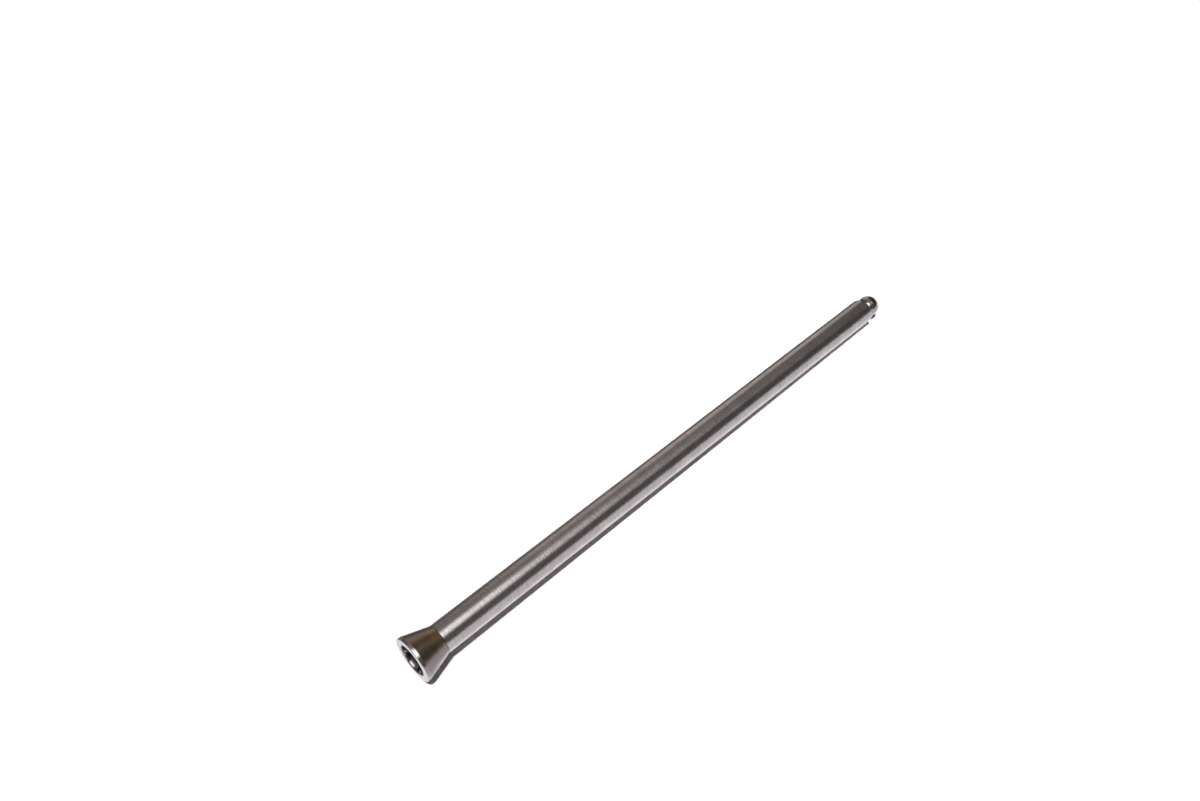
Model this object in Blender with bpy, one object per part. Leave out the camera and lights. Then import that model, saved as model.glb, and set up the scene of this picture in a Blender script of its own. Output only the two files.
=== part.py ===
"""An engine pushrod with a cup at one end and a ball at the other, lying as it rests.

It is a seamless steel tube with a turned insert pressed into each end. The rod lies on
the edge of its cup's land and on the far edge of its tube, so its axis dips slightly
towards the ball. The axis runs along X, from the cup at -X to the ball at +X.
"""
import math

import bmesh
import bpy
from mathutils import Matrix, Vector

# Whole rod
OVERALL_LENGTH = 0.1880
SIDES = 72

# Tube
TUBE_OUTER_RADIUS = 0.00397
TUBE_WALL = 0.00203
TUBE_EDGE_BREAK = 0.00010
TUBE_FAR_ROUND = 0.00040

# Cup end
RIM_RADIUS = 0.00615
RIM_EDGE_BREAK = 0.00020
LAND_LENGTH = 0.00095
HEAD_LENGTH = 0.00785
MOUTH_RADIUS = 0.00445
MOUTH_BREAK = 0.00020
SEAT_RADIUS = 0.00405
SEAT_LEAD_IN = 0.00125
CUP_SHANK_LENGTH = 0.00900

# Ball end
BALL_RADIUS = 0.003375
NECK_RADIUS = 0.00262
NECK_LENGTH = 0.00100
BALL_SHANK_LENGTH = 0.00900

# Both inserts
OIL_HOLE_RADIUS = 0.00080
SHANK_CHAMFER = 0.00030
FIT_GAP = 0.00010

# Steps of the arcs in an outline
SEAT_STEPS = 10
BALL_STEPS = 20
ROUND_STEPS = 3


def clear_scene():
    """Take away what the scene holds at the start."""
    for thing in list(bpy.data.objects):
        bpy.data.objects.remove(thing, do_unlink=True)


def steel(name, colour, roughness):
    """A metal with one colour and one roughness."""
    material = bpy.data.materials.new(name)
    material.use_nodes = True
    shader = material.node_tree.nodes["Principled BSDF"]
    shader.inputs["Base Color"].default_value = (*colour, 1.0)
    shader.inputs["Metallic"].default_value = 1.0
    shader.inputs["Roughness"].default_value = roughness
    material.diffuse_color = (*colour, 1.0)
    return material


def arc(centre, radius, start, end, steps):
    """Points (along, out) on an arc about a point on the axis or beside it, in degrees."""
    points = []
    for step in range(steps + 1):
        angle = math.radians(start + (end - start) * step / steps)
        along = centre[0] + radius * math.cos(angle)
        out = centre[1] + radius * math.sin(angle)
        points.append((along, out))
    return points


def turned(name, outline, material):
    """Spin a closed outline of (along, out) points once about the X axis.

    The spin starts half a side off the vertical, so a flat side faces straight down.
    """
    mesh = bpy.data.meshes.new(name)
    shape = bmesh.new()
    half_side = Matrix.Rotation(math.pi / SIDES, 3, "X")
    corners = [shape.verts.new(half_side @ Vector((along, 0.0, out))) for along, out in outline]
    edges = [shape.edges.new((corners[i - 1], corners[i])) for i in range(len(corners))]
    bmesh.ops.spin(
        shape,
        geom=corners + edges,
        cent=(0.0, 0.0, 0.0),
        axis=(1.0, 0.0, 0.0),
        angle=math.tau,
        steps=SIDES,
        use_merge=True,
    )
    bmesh.ops.remove_doubles(shape, verts=shape.verts, dist=1e-7)
    bmesh.ops.recalc_face_normals(shape, faces=shape.faces)
    shape.to_mesh(mesh)
    shape.free()
    mesh.materials.append(material)
    mesh.shade_smooth()
    mesh.set_sharp_from_angle(angle=math.radians(28.0))
    piece = bpy.data.objects.new(name, mesh)
    bpy.context.collection.objects.link(piece)
    return piece


def bore_radius():
    """The tube's inner radius."""
    return TUBE_OUTER_RADIUS - TUBE_WALL


def shank_radius():
    """The radius of what is pressed into the tube."""
    return bore_radius() - FIT_GAP


def tube_start():
    """Where the tube begins, behind the cup's rim."""
    return HEAD_LENGTH + FIT_GAP


def ball_centre():
    """Where the ball's centre lies on the axis."""
    return OVERALL_LENGTH - BALL_RADIUS


def neck_start():
    """Where the neck stands on the tube's end, from where its other end meets the ball."""
    return ball_centre() - math.sqrt(BALL_RADIUS**2 - NECK_RADIUS**2) - NECK_LENGTH


def tube_end():
    """Where the tube ends, under the neck's shoulder."""
    return neck_start() - FIT_GAP


def build_tube():
    """The plain tube between the two inserts."""
    start = tube_start()
    end = tube_end()
    outer = TUBE_OUTER_RADIUS
    bore = bore_radius()
    round_centre = (end - TUBE_FAR_ROUND, outer - TUBE_FAR_ROUND)
    outline = [
        (start, bore + TUBE_EDGE_BREAK),
        (start, outer - TUBE_EDGE_BREAK),
        (start + TUBE_EDGE_BREAK, outer),
    ]
    outline += arc(round_centre, TUBE_FAR_ROUND, 90.0, 0.0, ROUND_STEPS)
    outline += [
        (end, bore + TUBE_EDGE_BREAK),
        (end - TUBE_EDGE_BREAK, bore),
        (start + TUBE_EDGE_BREAK, bore),
    ]
    return turned("tube", outline, steel("tube_steel", (0.52, 0.50, 0.49), 0.34))


def build_cup_end():
    """The flared head with its seat, and the shank behind it."""
    seat_centre = MOUTH_BREAK + SEAT_LEAD_IN
    hole_angle = math.degrees(math.asin(OIL_HOLE_RADIUS / SEAT_RADIUS))
    seat = arc((seat_centre, 0.0), SEAT_RADIUS, 90.0, hole_angle, SEAT_STEPS)
    shank_end = HEAD_LENGTH + CUP_SHANK_LENGTH
    shank = shank_radius()
    outline = [
        (MOUTH_BREAK, MOUTH_RADIUS - MOUTH_BREAK),
        (0.0, MOUTH_RADIUS),
        (0.0, RIM_RADIUS - RIM_EDGE_BREAK),
        (RIM_EDGE_BREAK, RIM_RADIUS),
        (LAND_LENGTH, RIM_RADIUS),
        (HEAD_LENGTH, TUBE_OUTER_RADIUS),
        (HEAD_LENGTH, shank),
        (shank_end - SHANK_CHAMFER, shank),
        (shank_end, shank - SHANK_CHAMFER),
        (shank_end, OIL_HOLE_RADIUS),
    ]
    outline += reversed(seat)
    return turned("cup_end", outline, steel("cup_steel", (0.30, 0.25, 0.21), 0.36))


def build_ball_end():
    """The ball, the neck that stands on the tube's end, and the shank inside the tube."""
    neck_angle = 180.0 - math.degrees(math.asin(NECK_RADIUS / BALL_RADIUS))
    hole_angle = math.degrees(math.asin(OIL_HOLE_RADIUS / BALL_RADIUS))
    shank = shank_radius()
    shank_start = neck_start() - BALL_SHANK_LENGTH
    outline = [
        (shank_start, OIL_HOLE_RADIUS),
        (shank_start, shank - SHANK_CHAMFER),
        (shank_start + SHANK_CHAMFER, shank),
        (neck_start(), shank),
        (neck_start(), NECK_RADIUS),
    ]
    outline += arc((ball_centre(), 0.0), BALL_RADIUS, neck_angle, hole_angle, BALL_STEPS)
    return turned("ball_end", outline, steel("ball_steel", (0.34, 0.33, 0.33), 0.14))


def resting_dip():
    """How far the axis dips towards the ball, with both flats on the floor.

    The cup rests on the back edge of its land and the tube on its far edge.
    """
    flat = math.cos(math.pi / SIDES)
    drop = (RIM_RADIUS - TUBE_OUTER_RADIUS) * flat
    run = tube_end() - TUBE_FAR_ROUND - LAND_LENGTH
    return math.atan2(drop, run)


def lay_down(pieces):
    """Parent the pieces to the rod's axis, dip it, and set it on the floor.

    The origin is below the middle of the whole rod's box.
    """
    axis = bpy.data.objects.new("rod_axis", None)
    bpy.context.collection.objects.link(axis)
    dip = Matrix.Rotation(resting_dip(), 4, "Y")
    places = [dip @ corner.co for piece in pieces for corner in piece.data.vertices]
    low = Vector([min(place[i] for place in places) for i in range(3)])
    high = Vector([max(place[i] for place in places) for i in range(3)])
    middle = (low + high) / 2.0
    axis.rotation_euler = dip.to_euler()
    axis.location = (-middle.x, -middle.y, -low.z)
    for piece in pieces:
        piece.parent = axis


clear_scene()
lay_down([build_tube(), build_cup_end(), build_ball_end()])
bpy.context.view_layer.update()
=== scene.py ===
"""The looks of an engine pushrod that lies on a white table. All lengths are in metres."""
import math

import bmesh
import bpy
from mathutils import Matrix, Vector


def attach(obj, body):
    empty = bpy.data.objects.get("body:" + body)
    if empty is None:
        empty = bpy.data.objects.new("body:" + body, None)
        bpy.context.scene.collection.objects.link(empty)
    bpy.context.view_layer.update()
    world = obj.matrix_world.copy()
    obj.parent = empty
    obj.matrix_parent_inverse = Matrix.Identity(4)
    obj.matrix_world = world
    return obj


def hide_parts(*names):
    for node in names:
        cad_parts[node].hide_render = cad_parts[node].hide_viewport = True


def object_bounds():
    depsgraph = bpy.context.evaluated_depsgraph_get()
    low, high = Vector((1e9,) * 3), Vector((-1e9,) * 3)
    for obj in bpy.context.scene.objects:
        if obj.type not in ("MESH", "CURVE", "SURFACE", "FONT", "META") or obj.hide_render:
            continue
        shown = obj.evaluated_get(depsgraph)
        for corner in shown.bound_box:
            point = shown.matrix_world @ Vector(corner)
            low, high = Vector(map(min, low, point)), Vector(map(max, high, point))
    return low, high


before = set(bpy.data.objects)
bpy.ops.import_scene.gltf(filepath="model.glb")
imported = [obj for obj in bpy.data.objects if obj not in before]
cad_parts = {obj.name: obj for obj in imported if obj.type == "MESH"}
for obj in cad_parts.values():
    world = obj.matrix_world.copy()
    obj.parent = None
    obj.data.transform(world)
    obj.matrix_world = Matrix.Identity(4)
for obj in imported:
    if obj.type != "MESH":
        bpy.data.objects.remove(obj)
cad_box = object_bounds()


# Tube
# Seamless steel tube, cut square and ground between wheels, which leaves fine rings around
# it. Its edges are broken, the far one round, and both inserts are pressed into its bore.

TUBE_RADIUS = 0.00397
TUBE_BORE = 0.00194
TUBE_START = 0.00795
TUBE_END = 0.1813975
NEAR_BREAK = 0.00006
FAR_ROUND = 0.00040
BORE_BREAK = 0.00008
TUBE_COLOUR = (0.425, 0.400, 0.410)
GROUND = 0

# The solids have 72 flats and the pieces here are round, so they are drawn just inside.
FLATS = 72
ROUND = math.cos(math.pi / FLATS)

# The rod lies on the back edge of the cup's land and on the tube's far edge, so its middle
# line dips a little towards the ball. Every piece is turned about that line, and "along"
# is counted from the cup's rim.
RIM_RADIUS = 0.00615
RIM_EASE = 0.00020
LAND_LENGTH = 0.00095
DIP = math.atan2((RIM_RADIUS - TUBE_RADIUS) * ROUND, TUBE_END - FAR_ROUND - LAND_LENGTH)
RIM_CENTRE = Vector((
    cad_box[0][0] + (RIM_RADIUS - RIM_EASE) * ROUND * math.sin(DIP),
    0.0,
    LAND_LENGTH * math.sin(DIP) + RIM_RADIUS * ROUND * math.cos(DIP),
))
ROD_LINE = Matrix.Translation(RIM_CENTRE) @ Matrix.Rotation(DIP, 4, "Y")


def eased(corners, steps=5):
    """Round the corners (along, out, ease, finish) of a closed outline.

    A corner's finish is that of the stretch which starts there. A holding point on each
    side of a rounded corner keeps the straight runs flat.
    """
    points = []
    for i, (along, out, ease, finish) in enumerate(corners):
        corner = Vector((along, out))
        if ease == 0.0:
            points.append((along, out, finish))
            continue
        before = (Vector(corners[i - 1][:2]) - corner).normalized()
        after = (Vector(corners[(i + 1) % len(corners)][:2]) - corner).normalized()
        half = before.angle(after) / 2.0
        reach = ease / math.tan(half)
        centre = corner + (before + after).normalized() * (ease / math.sin(half))
        first = corner + before * reach - centre
        last = corner + after * reach - centre
        turn = first.angle_signed(last)
        last_finish = corners[i - 1][3]
        hold = centre + first + before * ease
        points.append((hold.x, hold.y, last_finish))
        for step in range(steps + 1):
            spoke = first.copy()
            spoke.rotate(Matrix.Rotation(-turn * step / steps, 2))
            spot = centre + spoke
            points.append((spot.x, spot.y, finish if step == steps else last_finish))
        hold = centre + last + after * ease
        points.append((hold.x, hold.y, finish))
    return points


def turned(name, outline, sides=192, sharp=math.radians(35.0)):
    """Turn a closed outline of (along, out, finish) points about the rod's line.

    A finish is the place of a material in the piece's own list.
    """
    shape = bmesh.new()
    rings = []
    for along, out, _ in outline:
        ring = []
        for side in range(sides):
            angle = math.tau * side / sides
            y = out * ROUND * math.sin(angle)
            z = out * ROUND * math.cos(angle)
            ring.append(shape.verts.new((along, y, z)))
        rings.append(ring)
    for i, ring in enumerate(rings):
        following = rings[(i + 1) % len(rings)]
        for side in range(sides):
            beyond = (side + 1) % sides
            corners = (ring[side], ring[beyond], following[beyond], following[side])
            face = shape.faces.new(corners)
            face.material_index = outline[i][2]
            face.smooth = True
    bmesh.ops.recalc_face_normals(shape, faces=shape.faces)
    mesh = bpy.data.meshes.new(name)
    shape.to_mesh(mesh)
    shape.free()
    mesh.set_sharp_from_angle(angle=sharp)
    mesh.transform(ROD_LINE)
    piece = bpy.data.objects.new(name, mesh)
    bpy.context.collection.objects.link(piece)
    return piece


class Nodes:
    """A short way to write a material's nodes."""

    def __init__(self, tree):
        self.tree = tree

    def fill(self, node, inputs):
        """Give a node's inputs values, or link them to other nodes' outputs."""
        for key, value in inputs.items():
            socket = node.inputs[key]
            if isinstance(value, bpy.types.NodeSocket):
                self.tree.links.new(value, socket)
            elif socket.type == "RGBA":
                socket.default_value = (*value, 1.0)
            else:
                socket.default_value = value

    def add(self, kind, inputs=None, **settings):
        """Add a node, set it, and fill its inputs."""
        node = self.tree.nodes.new(kind)
        for key, value in settings.items():
            setattr(node, key, value)
        self.fill(node, inputs or {})
        return node

    def maths(self, operation, first, second=0.0):
        """Work out one operation, such as ADD or MULTIPLY."""
        node = self.add("ShaderNodeMath", {0: first, 1: second}, operation=operation)
        return node.outputs[0]

    def place(self):
        """Where a point is on the rod: x along its line from the rim, y and z out from it."""
        spot = self.add("ShaderNodeTexCoord").outputs["Object"]
        turned_back = {"Vector": spot, "Location": RIM_CENTRE, "Rotation": (0.0, DIP, 0.0)}
        return self.add("ShaderNodeMapping", turned_back, vector_type="TEXTURE").outputs[0]

    def parts(self):
        """The same place as three numbers: along, across to the far side, and up."""
        return self.add("ShaderNodeSeparateXYZ", {0: self.place()}).outputs

    def grain(self, per_metre, detail=2.0, roughness=0.5, seed=0.0):
        """Noise over the piece, with so many grains to the metre along, across and up."""
        stretch = {"Vector": self.place(), "Scale": per_metre, "Location": (seed, seed, seed)}
        spread = self.add("ShaderNodeMapping", stretch).outputs[0]
        noise = {"Vector": spread, "Scale": 1.0, "Detail": detail, "Roughness": roughness}
        return self.add("ShaderNodeTexNoise", noise).outputs["Fac"]

    def between(self, value, low, high, to_low=0.0, to_high=1.0, smooth=False):
        """Map a range of a value to another range."""
        node = self.add(
            "ShaderNodeMapRange",
            {"Value": value, "From Min": low, "From Max": high, "To Min": to_low, "To Max": to_high},
            interpolation_type="SMOOTHSTEP" if smooth else "LINEAR",
        )
        return node.outputs[0]

    def vary(self, noise, low, high):
        """Spread a noise, which mostly lies between 0.3 and 0.7, over a range."""
        return self.between(noise, 0.3, 0.7, low, high)

    def blend(self, amount, first, second, mode="MIX"):
        """Mix two colours."""
        colours = {0: amount, 6: first, 7: second}
        return self.add("ShaderNodeMix", colours, data_type="RGBA", blend_type=mode).outputs[2]

    def shaded(self, colour, shade):
        """Multiply a colour by a shade."""
        grey = self.add("ShaderNodeCombineColor", {"Red": shade, "Green": shade, "Blue": shade})
        return self.blend(1.0, colour, grey.outputs[0], mode="MULTIPLY")

    def bump(self, height, distance):
        """Raise the surface by a height of 0 to 1 times so many metres."""
        inputs = {"Height": height, "Distance": distance, "Strength": 1.0}
        return self.add("ShaderNodeBump", inputs).outputs[0]

    def smear(self, shader, amount):
        """Spread highlights along the rod, as fine rings around it do."""
        around = self.add("ShaderNodeTangent", direction_type="RADIAL", axis="X")
        self.fill(shader, {
            "Anisotropic": amount,
            "Anisotropic Rotation": 0.25,
            "Tangent": around.outputs[0],
        })


def metal(name):
    """A new material with its bare shader, and the writer for its nodes."""
    material = bpy.data.materials.new(name)
    material.use_nodes = True
    tree = material.node_tree
    shader = tree.nodes["Principled BSDF"]
    shader.inputs["Metallic"].default_value = 1.0
    return material, shader, Nodes(tree)


def ground_steel():
    """Satin steel with the fine rings of grinding."""
    material, shader, nodes = metal("tube_steel_ground")
    rings = nodes.grain((1900.0, 170.0, 170.0), detail=5.0, roughness=0.75)
    flecks = nodes.grain((1900.0, 900.0, 900.0), detail=2.0, roughness=0.6, seed=3.1)
    clouds = nodes.grain((230.0, 200.0, 200.0), detail=4.0, seed=7.7)
    shade = nodes.maths("MULTIPLY", nodes.vary(clouds, 0.88, 1.08), nodes.vary(rings, 0.86, 1.12))
    height = nodes.maths("ADD", rings, nodes.maths("MULTIPLY", flecks, 0.16))
    nodes.fill(shader, {
        "Base Color": nodes.shaded(TUBE_COLOUR, shade),
        "Roughness": nodes.vary(rings, 0.34, 0.235),
        "Normal": nodes.bump(height, 0.000050),
    })
    nodes.smear(shader, 0.61)
    return material


tube = turned(
    "tube_ground",
    eased([
        (TUBE_START, TUBE_BORE, 0.0, GROUND),
        (TUBE_START, TUBE_RADIUS, NEAR_BREAK, GROUND),
        (TUBE_END, TUBE_RADIUS, FAR_ROUND, GROUND),
        (TUBE_END, TUBE_BORE, BORE_BREAK, GROUND),
    ]),
)
tube.data.materials.append(ground_steel())
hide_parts("tube")
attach(tube, "root")


# Cup end
# Turned steel insert, hardened brown, with a bright ground rim, a short straight land and a
# cone down to the tube. The round seat in its face takes the ball of the rocker's screw and
# has an oil hole in its floor. Its shank is pressed into the tube.

FIT_GAP = 0.00010
HEAD_LENGTH = TUBE_START - FIT_GAP
MOUTH_RADIUS = 0.00445
MOUTH_BREAK = 0.00020
MOUTH_EASE = 0.00004
FACE_EASE = 0.00005
LAND_EASE = 0.00030
SEAM_EASE = 0.00005
SEAT_RADIUS = 0.00405
SEAT_CENTRE = 0.00145
OIL_HOLE = 0.00080
SHANK_RADIUS = TUBE_BORE - FIT_GAP
SHANK_LENGTH = 0.00900
SHANK_EASE = 0.00020
CUP_SHANK_END = HEAD_LENGTH + SHANK_LENGTH

# Places in the cup's list of materials.
TURNED = 0
RIM_GROUND = 1
SEAT_POLISHED = 2

CONE_COLOUR = (0.225, 0.172, 0.125)
SEAM_COLOUR = (0.320, 0.208, 0.130)
BEHIND_COLOUR = (0.210, 0.180, 0.166)
# Painted reflection of the white table: the cone goes greyer and then paler lilac on its low near
# side.
CONE_LOW_PAINTED_REFLECTION = (0.240, 0.209, 0.216)
CONE_UNDER_PAINTED_REFLECTION = (0.375, 0.342, 0.366)
LAND_COLOUR = (0.430, 0.405, 0.410)
# Painted shade: the land is darker on its low near side, and its own colour again lowest.
LAND_PAINTED_SHADE = (0.260, 0.240, 0.248)
RIM_TINT = (1.0, 0.98, 1.02)
SEAT_COLOUR = (0.275, 0.256, 0.248)
# Painted shade: the seat's colour deep in the hollow.
SEAT_PAINTED_DEPTH_SHADE = (0.110, 0.096, 0.092)
WARM_BLOT = (1.09, 0.97, 0.91)
COLD_BLOT = (0.91, 1.02, 1.04)

# The way, across and up, to the low near side of the head, where the colour is painted:
# painted reflection of the white table on the cone, and painted shade on the land.
PAINTED_LIGHT_SIDE = (-0.86, -0.50)


def distance_out(nodes, across, up):
    """How far a point is from the rod's line."""
    square = nodes.maths(
        "ADD",
        nodes.maths("MULTIPLY", across, across),
        nodes.maths("MULTIPLY", up, up),
    )
    return nodes.maths("SQRT", square)


def tint_and_painted_light(nodes, parts, clouds, on_land):
    """The colours of cone and land: random blots, a tint along the head towards the seam and greyer
    on the far side, and on the low near side painted reflection of the white table on the cone and
    painted shade on the land.
    """
    along, across, up = parts
    blots = nodes.grain((900.0, 750.0, 750.0), detail=3.0, roughness=0.65, seed=11.3)
    out = distance_out(nodes, across, up)
    behind = nodes.maths("DIVIDE", across, out)
    # How far a point faces the low near side, where reflection and shade are painted into the
    # colour.
    low = nodes.maths(
        "ADD",
        nodes.maths("MULTIPLY", across, PAINTED_LIGHT_SIDE[0]),
        nodes.maths("MULTIPLY", up, PAINTED_LIGHT_SIDE[1]),
    )
    low = nodes.maths("ADD", nodes.maths("DIVIDE", low, out), nodes.vary(clouds, -0.07, 0.07))
    # These two masks carry the painted reflection on the cone and the painted shade on the land, the
    # second lowest on the near side.
    grey = nodes.between(low, 0.30, 0.60, smooth=True)
    painted_lowest = nodes.between(low, 0.75, 1.0, smooth=True)

    edge = nodes.maths("ADD", along, nodes.vary(clouds, -0.0006, 0.0006))
    cone = nodes.blend(nodes.between(edge, 0.0052, 0.0073, smooth=True), CONE_COLOUR, SEAM_COLOUR)
    blotted = nodes.blend(nodes.between(blots, 0.35, 0.65), WARM_BLOT, COLD_BLOT)
    cone = nodes.blend(1.0, cone, blotted, mode="MULTIPLY")
    cone = nodes.blend(nodes.between(behind, -0.05, 0.35, smooth=True), cone, BEHIND_COLOUR)
    # Painted reflection of the white table on the cone's low near side.
    cone = nodes.blend(grey, cone, CONE_LOW_PAINTED_REFLECTION)
    cone = nodes.blend(painted_lowest, cone, CONE_UNDER_PAINTED_REFLECTION)

    # Painted shade on the land's low near side; lowest it goes back to its own colour.
    land = nodes.blend(grey, LAND_COLOUR, LAND_PAINTED_SHADE)
    land = nodes.blend(painted_lowest, land, LAND_COLOUR)
    return nodes.blend(on_land, cone, land)


def turned_steel():
    """Hardened steel with turning rings, brown on the cone, and paler and finer on the land, with
    painted reflection and painted shade on the low near side.
    """
    material, shader, nodes = metal("cup_steel_turned")
    parts = nodes.parts()
    rings = nodes.grain((3000.0, 160.0, 160.0), detail=3.0, roughness=0.6, seed=1.3)
    flecks = nodes.grain((1500.0, 1100.0, 1100.0), detail=2.0, seed=5.9)
    clouds = nodes.grain((260.0, 260.0, 260.0), detail=3.0, seed=2.2)
    on_land = nodes.between(parts[0], 0.0008, 0.0011, 1.0, 0.0, smooth=True)
    colour = tint_and_painted_light(nodes, parts, clouds, on_land)
    shade = nodes.maths("MULTIPLY", nodes.vary(rings, 0.88, 1.10), nodes.vary(flecks, 0.92, 1.06))
    finer = nodes.between(on_land, 0.0, 1.0, 1.0, 0.62)
    height = nodes.maths("ADD", rings, nodes.maths("MULTIPLY", flecks, 0.5))
    nodes.fill(shader, {
        "Base Color": nodes.shaded(colour, shade),
        "Roughness": nodes.maths("MULTIPLY", nodes.vary(flecks, 0.31, 0.39), finer),
        "Normal": nodes.bump(height, 0.000014),
    })
    nodes.smear(shader, 0.60)
    return material


def ground_rim():
    """The flat ring that is ground bright, with rings of its own."""
    material, shader, nodes = metal("cup_steel_rim")
    _, across, up = nodes.parts()
    spot = nodes.add("ShaderNodeCombineXYZ", {
        0: nodes.maths("MULTIPLY", distance_out(nodes, across, up), 9000.0),
        1: nodes.maths("MULTIPLY", up, 200.0),
    })
    noise = {"Vector": spot.outputs[0], "Scale": 1.0, "Detail": 2.0}
    rings = nodes.add("ShaderNodeTexNoise", noise).outputs["Fac"]
    nodes.fill(shader, {
        "Base Color": nodes.shaded(RIM_TINT, nodes.vary(rings, 0.55, 0.62)),
        "Roughness": nodes.vary(rings, 0.28, 0.36),
        "Normal": nodes.bump(rings, 0.000006),
    })
    return material


def polished_seat():
    """The dark polished hollow, painted darker deeper in as shade, with faint rings where the
    screw's ball will run.
    """
    material, shader, nodes = metal("cup_steel_seat")
    rings = nodes.grain((2600.0, 200.0, 200.0), detail=2.0, seed=8.8)
    clouds = nodes.grain((500.0, 500.0, 500.0), detail=2.0, seed=4.4)
    # Painted shade: the colour darkens with depth into the hollow.
    depth = nodes.maths("ADD", nodes.parts()[0], nodes.vary(clouds, -0.0003, 0.0003))
    painted_depth_shade = nodes.between(depth, 0.0010, 0.0028)
    nodes.fill(shader, {
        "Base Color": nodes.blend(painted_depth_shade, SEAT_COLOUR, SEAT_PAINTED_DEPTH_SHADE),
        "Roughness": nodes.vary(rings, 0.10, 0.15),
        "Normal": nodes.bump(rings, 0.000006),
    })
    return material


def arc(centre, radius, start, end, steps, finish):
    """Corners on an arc about a point on the rod's line, from one angle to another."""
    corners = []
    for step in range(steps + 1):
        angle = start + (end - start) * step / steps
        along = centre + radius * math.cos(angle)
        out = radius * math.sin(angle)
        corners.append((along, out, 0.0, finish))
    return corners


seat_start = math.asin(OIL_HOLE / SEAT_RADIUS)
seat = arc(SEAT_CENTRE, SEAT_RADIUS, seat_start, math.pi / 2, 28, SEAT_POLISHED)
cup = turned(
    "cup_end_turned",
    eased([
        (MOUTH_BREAK, MOUTH_RADIUS - MOUTH_BREAK, MOUTH_EASE, SEAT_POLISHED),
        (0.0, MOUTH_RADIUS, FACE_EASE, RIM_GROUND),
        (0.0, RIM_RADIUS, RIM_EASE, TURNED),
        (LAND_LENGTH, RIM_RADIUS, LAND_EASE, TURNED),
        (HEAD_LENGTH, TUBE_RADIUS, SEAM_EASE, TURNED),
        (HEAD_LENGTH, SHANK_RADIUS, 0.0, TURNED),
        (CUP_SHANK_END, SHANK_RADIUS, SHANK_EASE, TURNED),
        (CUP_SHANK_END, OIL_HOLE, 0.0, SEAT_POLISHED),
    ] + seat),
)
cup.data.materials.append(turned_steel())
cup.data.materials.append(ground_rim())
cup.data.materials.append(polished_seat())
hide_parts("cup_end")
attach(cup, "root")


# Ball end
# Turned steel insert, hardened and polished dark: a ball a little smaller than the tube on
# a short neck that stands on the tube's end. An oil hole runs through it, and its shank is
# pressed into the tube.

BALL_RADIUS = 0.003375
NECK_RADIUS = 0.00262
NECK_LENGTH = 0.00100
NECK_EASE = 0.00005
NECK_START = TUBE_END + FIT_GAP
BALL_CENTRE = NECK_START + NECK_LENGTH + math.sqrt(BALL_RADIUS**2 - NECK_RADIUS**2)
BALL_SHANK_START = NECK_START - SHANK_LENGTH
BALL_COLOUR = (0.390, 0.352, 0.342)
POLISHED = 0


def polished_ball():
    """Dark polished steel with faint clouding and hair-fine rings."""
    material, shader, nodes = metal("ball_steel_polished")
    rings = nodes.grain((4200.0, 260.0, 260.0), detail=2.0, seed=6.1)
    clouds = nodes.grain((420.0, 420.0, 420.0), detail=3.0, seed=9.4)
    nodes.fill(shader, {
        "Base Color": nodes.shaded(BALL_COLOUR, nodes.vary(clouds, 0.84, 1.08)),
        "Roughness": nodes.vary(rings, 0.13, 0.21),
        "Normal": nodes.bump(rings, 0.000003),
    })
    return material


neck_angle = math.pi - math.asin(NECK_RADIUS / BALL_RADIUS)
hole_angle = math.asin(OIL_HOLE / BALL_RADIUS)
ball = turned(
    "ball_end_polished",
    eased([
        (BALL_SHANK_START, OIL_HOLE, 0.0, POLISHED),
        (BALL_SHANK_START, SHANK_RADIUS, SHANK_EASE, POLISHED),
        (NECK_START, SHANK_RADIUS, 0.0, POLISHED),
        (NECK_START, NECK_RADIUS, NECK_EASE, POLISHED),
    ] + arc(BALL_CENTRE, BALL_RADIUS, neck_angle, hole_angle, 56, POLISHED)),
)
ball.data.materials.append(polished_ball())
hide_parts("ball_end")
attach(ball, "root")


# Table
# A smooth white sheet under the rod, and two cards on it that only the metal mirrors, both
# painted reflections: a dark one beyond the rod, which mirrors as painted shade along the rod's
# upper edge, and a bright glowing strip on its near side that brightens the rod's underside.
# None is part of the rod.

TABLE_HALF = 3.0
TABLE_DROP = 0.00001
TABLE_WHITE = (0.97, 0.965, 0.97)
CARD_HEIGHT = 0.00002
FAR_CARD = (
    (-0.12, 0.015),
    (-0.07, 0.016),
    (0.0, 0.017),
    (0.045, 0.012),
    (0.065, 0.006),
    (0.14, 0.005),
    (0.30, 0.30),
    (-0.12, 0.30),
)
FAR_CARD_BY_CUP = (0.21, 0.19, 0.182)
FAR_CARD_BY_BALL = (0.05, 0.044, 0.042)
NEAR_CARD = ((-0.088, -0.0072), (0.096, -0.0072), (0.096, -0.0025), (-0.088, -0.003))
NEAR_CARD_COLOUR = (1.42, 1.33, 1.40)


def matt_white():
    """White with no gloss."""
    material = bpy.data.materials.new("table_white")
    material.use_nodes = True
    shader = material.node_tree.nodes["Principled BSDF"]
    shader.inputs["Base Color"].default_value = (*TABLE_WHITE, 1.0)
    shader.inputs["Roughness"].default_value = 1.0
    shader.inputs["Specular IOR Level"].default_value = 0.0
    return material


table_corners = [
    (-TABLE_HALF, -TABLE_HALF, 0.0),
    (TABLE_HALF, -TABLE_HALF, 0.0),
    (TABLE_HALF, TABLE_HALF, 0.0),
    (-TABLE_HALF, TABLE_HALF, 0.0),
]
table_mesh = bpy.data.meshes.new("table")
table_mesh.from_pydata(table_corners, [], [(0, 1, 2, 3)])
table_mesh.materials.append(matt_white())
table = bpy.data.objects.new("table", table_mesh)
table.location.z = -TABLE_DROP
bpy.context.collection.objects.link(table)


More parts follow.
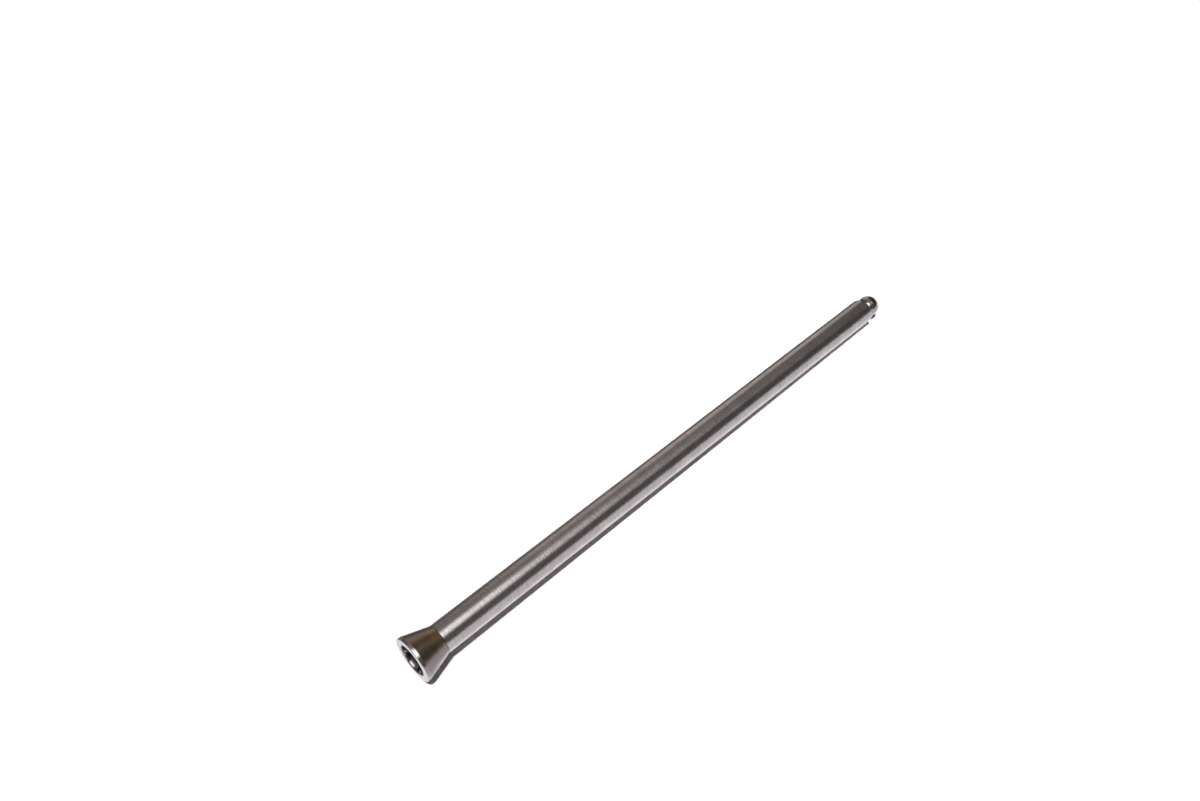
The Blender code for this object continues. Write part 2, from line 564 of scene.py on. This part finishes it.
def mirrored_sheet(name, corners, colour_at):
    """A flat glowing sheet that only the metal mirrors, coloured by colour_at(nodes, spot)."""
    mesh = bpy.data.meshes.new(name)
    mesh.from_pydata(corners, [], [tuple(range(len(corners)))])
    material = bpy.data.materials.new(name)
    material.use_nodes = True
    nodes = Nodes(material.node_tree)
    nodes.tree.nodes.clear()
    spot = nodes.add("ShaderNodeTexCoord").outputs["Object"]
    glow = nodes.add("ShaderNodeEmission", {"Color": colour_at(nodes, spot), "Strength": 1.0})
    nodes.add("ShaderNodeOutputMaterial", {"Surface": glow.outputs[0]})
    mesh.materials.append(material)
    sheet = bpy.data.objects.new(name, mesh)
    sheet.visible_camera = False
    sheet.visible_diffuse = False
    sheet.visible_shadow = False
    bpy.context.collection.objects.link(sheet)
    return sheet


def table_card(name, outline, by_cup, by_ball):
    """A card on the table, in one colour by the cup and another towards the ball."""

    def colour_at(nodes, spot):
        along = nodes.add("ShaderNodeSeparateXYZ", {0: spot}).outputs[0]
        return nodes.blend(nodes.between(along, -0.02, 0.06, smooth=True), by_cup, by_ball)

    mirrored_sheet(name, [(x, y, CARD_HEIGHT) for x, y in outline], colour_at)


table_card("far_card", FAR_CARD, FAR_CARD_BY_CUP, FAR_CARD_BY_BALL)
table_card("near_card", NEAR_CARD, NEAR_CARD_COLOUR, NEAR_CARD_COLOUR)


# Light
# A small hard lamp above the near side throws the thin shadow along the rod. What the metal
# mirrors is a soft round lamp above the cup, in a dim room with four paler glows.

TO_LAMP = Vector((-0.22, -0.235, 0.947))
LAMP_STRENGTH = 3.40
LAMP_WIDTH = math.radians(4.0)
SOFT_LAMP_PLACE = Vector((-0.088, -0.088, 0.325))
SOFT_LAMP_RADIUS = 0.21
SOFT_LAMP_CORE = 0.2 * SOFT_LAMP_RADIUS
SOFT_LAMP_SIDES = 48
SOFT_LAMP_GLOW = (3.70, 3.70, 3.52)
ROOM_DIM = (0.055, 0.050, 0.045)
TABLE_LEVEL = (0.042, 0.036, 0.044)

# Each glow: the way to its middle, how far it reaches in degrees, and its colour.
GLOWS = (
    ((0.30, -0.42, 0.85), 15.0, (1.02, 0.96, 0.87)),
    ((0.57, 0.75, 0.345), 26.0, (0.84, 0.76, 0.67)),
    ((0.24, 0.24, 0.94), 41.0, (0.31, 0.285, 0.272)),
    ((-0.30, -0.90, 0.30), 75.0, (0.11, 0.100, 0.098)),
)

lamp_data = bpy.data.lights.new("lamp", "SUN")
lamp_data.energy = LAMP_STRENGTH
lamp_data.angle = LAMP_WIDTH
lamp = bpy.data.objects.new("lamp", lamp_data)
bpy.context.collection.objects.link(lamp)
lamp.rotation_mode = "QUATERNION"
lamp.rotation_quaternion = TO_LAMP.to_track_quat("Z", "Y")
lamp.visible_glossy = False


def soft_lamp_colour(nodes, spot):
    """Bright in the lamp's core, and down to the dim of the room at its edge."""
    off = nodes.add("ShaderNodeVectorMath", {0: spot}, operation="LENGTH").outputs["Value"]
    amount = nodes.between(off, SOFT_LAMP_RADIUS, SOFT_LAMP_CORE, smooth=True)
    return nodes.blend(amount, ROOM_DIM, SOFT_LAMP_GLOW)


def hang_soft_lamp():
    """Hang the soft round lamp square to the line from the middle of the rod."""
    edge = []
    for side in range(SOFT_LAMP_SIDES):
        angle = math.tau * side / SOFT_LAMP_SIDES
        edge.append((SOFT_LAMP_RADIUS * math.cos(angle), SOFT_LAMP_RADIUS * math.sin(angle), 0.0))
    disc = mirrored_sheet("soft_lamp", edge, soft_lamp_colour)
    disc.location = SOFT_LAMP_PLACE
    disc.rotation_mode = "QUATERNION"
    disc.rotation_quaternion = SOFT_LAMP_PLACE.to_track_quat("Z", "Y")


def paint_room():
    """White to the eye, a soft level for the table, and the glows for the metal."""
    world = bpy.data.worlds.new("room")
    bpy.context.scene.world = world
    world.use_nodes = True
    world.cycles.sampling_method = "NONE"
    nodes = Nodes(world.node_tree)
    nodes.tree.nodes.clear()
    way = nodes.add("ShaderNodeTexCoord").outputs["Generated"]
    mirrored = ROOM_DIM
    for middle, reach, colour in GLOWS:
        ways = {0: way, 1: Vector(middle).normalized()}
        near = nodes.add("ShaderNodeVectorMath", ways, operation="DOT_PRODUCT").outputs["Value"]
        amount = nodes.between(near, math.cos(math.radians(reach)), 1.0, smooth=True)
        glow = nodes.blend(amount, (0.0, 0.0, 0.0), colour)
        mirrored = nodes.blend(1.0, mirrored, glow, mode="ADD")
    path = nodes.add("ShaderNodeLightPath")
    seen = nodes.blend(path.outputs["Is Glossy Ray"], TABLE_LEVEL, mirrored)
    seen = nodes.blend(path.outputs["Is Camera Ray"], seen, (1.0, 1.0, 1.0))
    back = nodes.add("ShaderNodeBackground", {"Color": seen, "Strength": 1.0})
    nodes.add("ShaderNodeOutputWorld", {"Surface": back.outputs[0]})


hang_soft_lamp()
paint_room()


# Camera
# At the photograph's own viewpoint: above the near side of the cup, looking down along the
# rod at about 43 degrees. The focal length is counted in the photograph's pixels.

PHOTO_WIDTH = 1200.0
FOCAL_PIXELS = 926.0
SENSOR_WIDTH = 36.0
CAMERA_RIGHT = Vector((0.71657893, -0.69547764, -0.05315529))
CAMERA_UP = Vector((0.50632948, 0.46624759, 0.72542651))
CAMERA_PLACE = Vector((-0.1353669, -0.1203489, 0.1962190))

camera_data = bpy.data.cameras.new("camera")
camera_data.sensor_fit = "HORIZONTAL"
camera_data.sensor_width = SENSOR_WIDTH
camera_data.lens = FOCAL_PIXELS / PHOTO_WIDTH * SENSOR_WIDTH
camera_data.clip_start = 0.01
camera_data.clip_end = 20.0
camera = bpy.data.objects.new("camera", camera_data)
bpy.context.collection.objects.link(camera)
turn = Matrix((CAMERA_RIGHT, CAMERA_UP, CAMERA_RIGHT.cross(CAMERA_UP))).transposed()
camera.matrix_world = Matrix.Translation(CAMERA_PLACE) @ turn.to_4x4()
bpy.context.scene.camera = camera

bpy.context.scene.view_settings.view_transform = "Standard"
